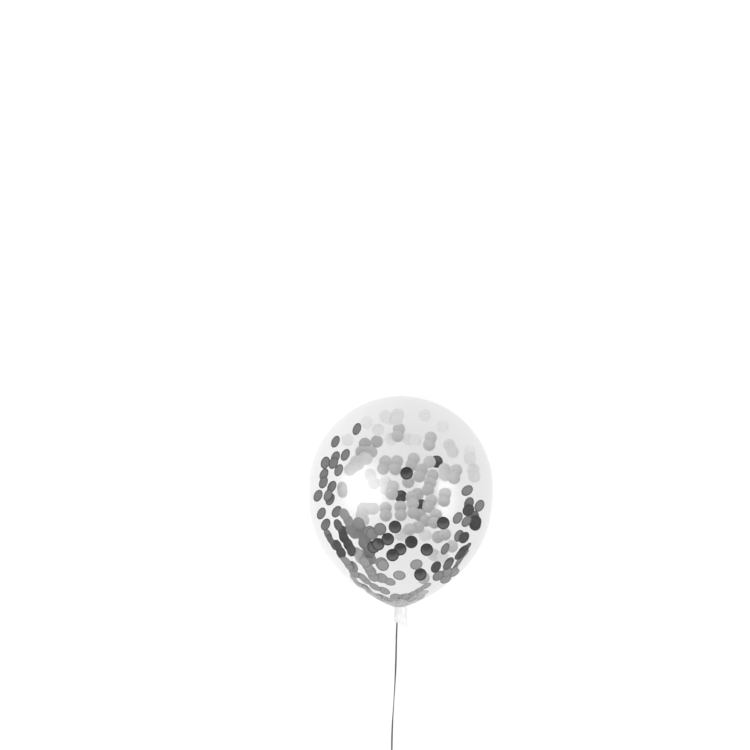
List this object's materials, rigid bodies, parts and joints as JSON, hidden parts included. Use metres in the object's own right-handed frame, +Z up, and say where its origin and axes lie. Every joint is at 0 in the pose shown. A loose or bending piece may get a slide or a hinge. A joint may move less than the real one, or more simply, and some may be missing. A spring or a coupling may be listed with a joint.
{
  "type": "confetti balloon",
  "caption": "Clear round balloon with loose silver foil discs inside, its neck knotted and tied with a thin metallic ribbon that ends in a small loop, lying on its side.",
  "frame": {"origin": "on the surface that the balloon lies on, under the middle of the balloon's own length and width", "axes": "+Y along the balloon's axis from its neck towards its dome, +Z up from the surface it lies on, +X to the right when the balloon is seen from above with its neck towards the viewer"},
  "size_m": [0.29, 0.6116, 0.2875],
  "materials": {
    "clear_latex": "gloss",
    "metallic_ribbon": "satin",
    "silver_confetti": "satin"
  },
  "bodies": {
    "root": {"balloon": "clear_latex", "ribbon_tie": "metallic_ribbon", "ribbon": "metallic_ribbon", "ribbon_end_loop": "metallic_ribbon"}
  },
  "joints": []
}
